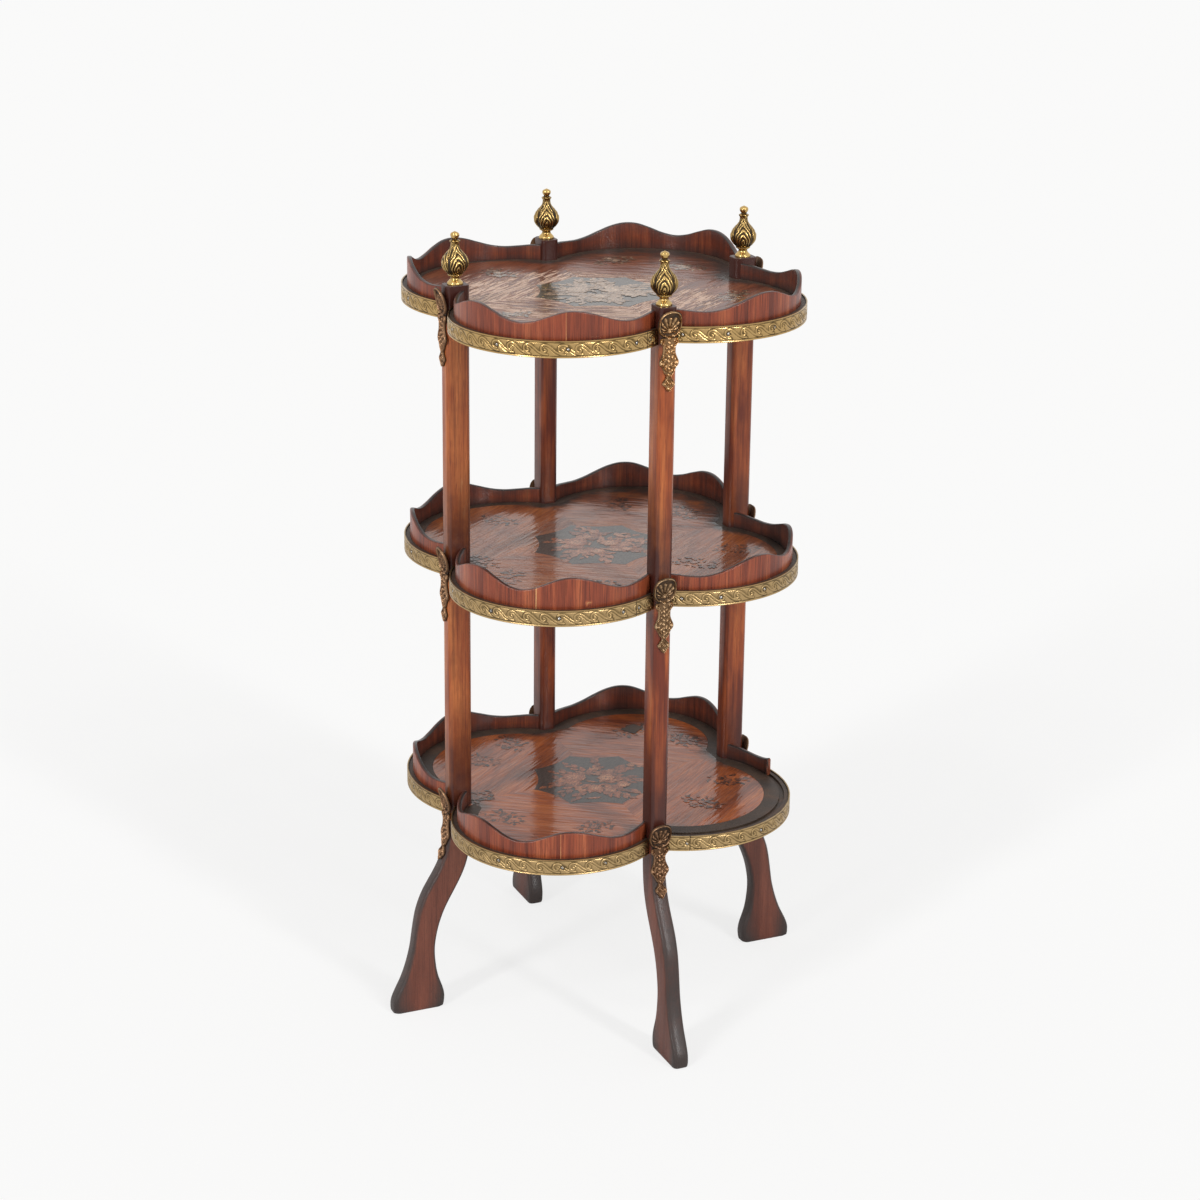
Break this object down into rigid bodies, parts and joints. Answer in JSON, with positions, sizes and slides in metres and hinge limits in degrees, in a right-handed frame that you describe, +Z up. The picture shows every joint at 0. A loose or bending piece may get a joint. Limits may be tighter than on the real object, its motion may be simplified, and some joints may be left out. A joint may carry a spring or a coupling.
{
  "type": "etagere",
  "caption": "Free-standing tray etagere: quatrefoil marquetry shelves with wavy galleries and brass bands, chamfered posts, splayed legs, corner mounts and flame finials.",
  "frame": {"origin": "on the floor, under the middle of the shelves", "axes": "+X to the right and +Y to the back, each through the middle of two opposite lobes; +Z up, towards the finials"},
  "size_m": [0.4114, 0.4342, 0.815],
  "materials": {
    "mahogany": "satin",
    "gallery_veneer": "satin",
    "ebonised": "satin",
    "marquetry": "varnished",
    "beech": "matte",
    "gilt_brass": "aged",
    "bronzed_brass": "aged"
  },
  "bodies": {
    "root": {"lower_shelf_board": "ebonised", "lower_shelf_field": "marquetry", "lower_front_band": "gilt_brass", "lower_front_gallery": "gallery_veneer", "lower_right_band": "gilt_brass", "lower_right_gallery": "gallery_veneer", "lower_back_band": "gilt_brass", "lower_back_gallery": "gallery_veneer", "lower_left_band": "gilt_brass", "lower_left_gallery": "gallery_veneer", "lower_front_left_mount": "bronzed_brass", "lower_front_right_mount": "bronzed_brass", "lower_back_right_mount": "bronzed_brass", "lower_back_left_mount": "bronzed_brass", "middle_shelf_board": "ebonised", "middle_shelf_field": "marquetry", "middle_front_band": "gilt_brass", "middle_front_gallery": "gallery_veneer", "middle_right_band": "gilt_brass", "middle_right_gallery": "gallery_veneer", "middle_back_band": "gilt_brass", "middle_back_gallery": "gallery_veneer", "middle_left_band": "gilt_brass", "middle_left_gallery": "gallery_veneer", "middle_front_left_mount": "bronzed_brass", "middle_front_right_mount": "bronzed_brass", "middle_back_right_mount": "bronzed_brass", "middle_back_left_mount": "bronzed_brass", "top_shelf_board": "ebonised", "top_shelf_field": "marquetry", "top_front_band": "gilt_brass", "top_front_gallery": "gallery_veneer", "top_right_band": "gilt_brass", "top_right_gallery": "gallery_veneer", "top_back_band": "gilt_brass", "top_back_gallery": "gallery_veneer", "top_left_band": "gilt_brass", "top_left_gallery": "gallery_veneer", "top_front_left_mount": "bronzed_brass", "top_front_right_mount": "bronzed_brass", "top_back_right_mount": "bronzed_brass", "top_back_left_mount": "bronzed_brass", "front_left_post": "mahogany", "front_left_leg": "mahogany", "front_left_leg_dowel": "beech", "front_left_finial": "gilt_brass", "front_right_post": "mahogany", "front_right_leg": "mahogany", "front_right_leg_dowel": "beech", "front_right_finial": "gilt_brass", "back_right_post": "mahogany", "back_right_leg": "mahogany", "back_right_leg_dowel": "beech", "back_right_finial": "gilt_brass", "back_left_post": "mahogany", "back_left_leg": "mahogany", "back_left_leg_dowel": "beech", "back_left_finial": "gilt_brass"}
  },
  "joints": []
}
